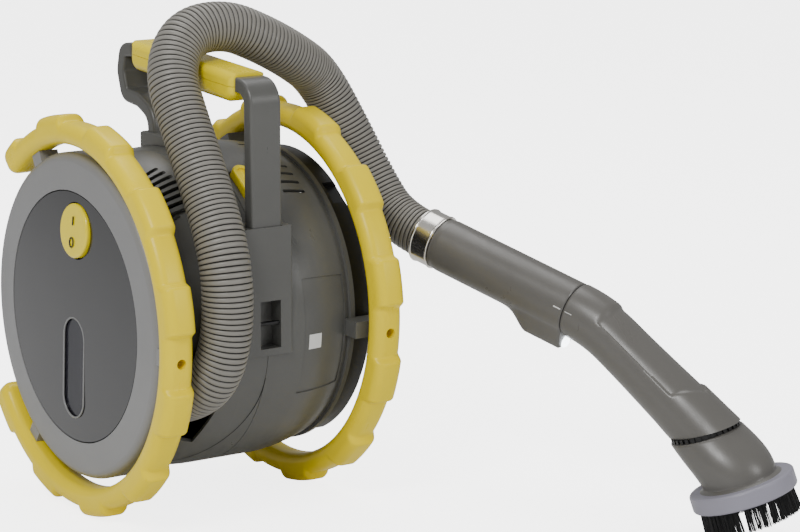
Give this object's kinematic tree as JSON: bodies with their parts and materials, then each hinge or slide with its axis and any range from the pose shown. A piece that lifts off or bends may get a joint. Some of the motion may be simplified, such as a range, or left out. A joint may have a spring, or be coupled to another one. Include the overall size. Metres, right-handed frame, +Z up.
{
  "type": "portable drum vacuum cleaner",
  "caption": "Hand-carried drum vacuum cleaner with scalloped roll rings, bridge handle, ribbed hose and a bent wand ending in a round dusting brush.",
  "frame": {"origin": "on the floor under the middle of the drum", "axes": "+Z up; the drum's axis runs along Y and the switch panel faces -Y; the wand points towards +X and +Y"},
  "size_m": [0.4879, 0.3967, 0.3676],
  "materials": {
    "ring_yellow": "soft satin moulded plastic",
    "grip_yellow": "satin moulded plastic",
    "switch_yellow": "gloss moulded plastic",
    "body_grey": "fine textured satin",
    "cover_grey": "satin",
    "panel_gloss": "high gloss",
    "clear_window": "clear moulded plastic",
    "dark_plastic": "satin",
    "hose_grey": "ribbed satin",
    "collar_chrome": "polished",
    "wand_grey": "satin",
    "flange_grey": "satin",
    "bristle_black": "bristle",
    "led_clear": "frosted",
    "steel": "zinc plated",
    "filter_white": "pleated",
    "board_green": "coated"
  },
  "bodies": {
    "housing": {"front_ring": "ring_yellow", "rear_ring": "ring_yellow", "ring_screws": "steel", "front_cover": "cover_grey", "front_panel": "panel_gloss", "window_lens": "clear_window", "switch_housing": "dark_plastic", "front_shell": "body_grey", "rear_shell": "body_grey", "casing_joiner": "dark_plastic", "side_channel": "body_grey", "strap_bar": "dark_plastic", "handle_arm_right": "body_grey", "handle_arm_left": "body_grey", "grip_upper": "grip_yellow", "grip_lower": "grip_yellow", "handle_socket": "body_grey", "button_spring": "steel", "dust_cup": "clear_window", "cup_filter": "filter_white", "circuit_board": "board_green", "motor_housing": "steel", "fan_shroud": "dark_plastic", "motor_plate": "dark_plastic", "exhaust_filter": "filter_white", "hose_inlet": "dark_plastic", "hose": "hose_grey", "hose_collar": "collar_chrome"},
    "rocker": {"power_rocker": "switch_yellow"},
    "button": {"release_button": "switch_yellow"},
    "rear_cap": {"rear_cover": "dark_plastic"},
    "fan": {"motor_shaft": "steel", "fan_wheel": "dark_plastic"},
    "wand": {"wand_handle_left": "wand_grey", "wand_handle_right": "wand_grey", "led_lens": "led_clear"},
    "tube": {"wand_tube": "wand_grey", "twist_sleeve": "dark_plastic", "index_ring": "dark_plastic"},
    "brush": {"brush_elbow": "wand_grey", "brush_flange": "flange_grey", "bristles": "bristle_black"}
  },
  "joints": [
    {"name": "power_switch", "type": "hinge", "parent": "housing", "child": "rocker", "pos_m": [0.00846, -0.0895, 0.20829], "axis": [1, 0, 0], "range_deg": [0, 8]},
    {"name": "release_button_press", "type": "slide", "parent": "housing", "child": "button", "axis": [-0.5807, 0, -0.8141], "range_m": [0, 0.003], "stiffness_N_per_m": 300, "springref_m": -0.001, "deforming": ["button_spring"]},
    {"name": "rear_cover_turn", "type": "hinge", "parent": "housing", "child": "rear_cap", "pos_m": [0, 0.0875, 0.14445], "axis": [0, 1, 0], "range_deg": [0, 20]},
    {"name": "fan_spin", "type": "hinge", "parent": "housing", "child": "fan", "pos_m": [0, 0.03, 0.14445], "axis": [0, 1, 0], "continuous": true},
    {"name": "wand_swivel", "type": "hinge", "parent": "housing", "child": "wand", "pos_m": [0.076, 0.1637, 0.189], "axis": [0.8877, 0.3443, -0.3057], "continuous": true},
    {"name": "tube_twist", "type": "hinge", "parent": "wand", "child": "tube", "pos_m": [0.19699, 0.21063, 0.14733], "axis": [0.8877, 0.3443, -0.3057], "range_deg": [0, 30]},
    {"name": "brush_turn", "type": "hinge", "parent": "tube", "child": "brush", "pos_m": [0.29615, 0.24909, 0.07441], "axis": [0.2281, 0.2166, -0.9493], "range_deg": [-90, 90]}
  ]
}
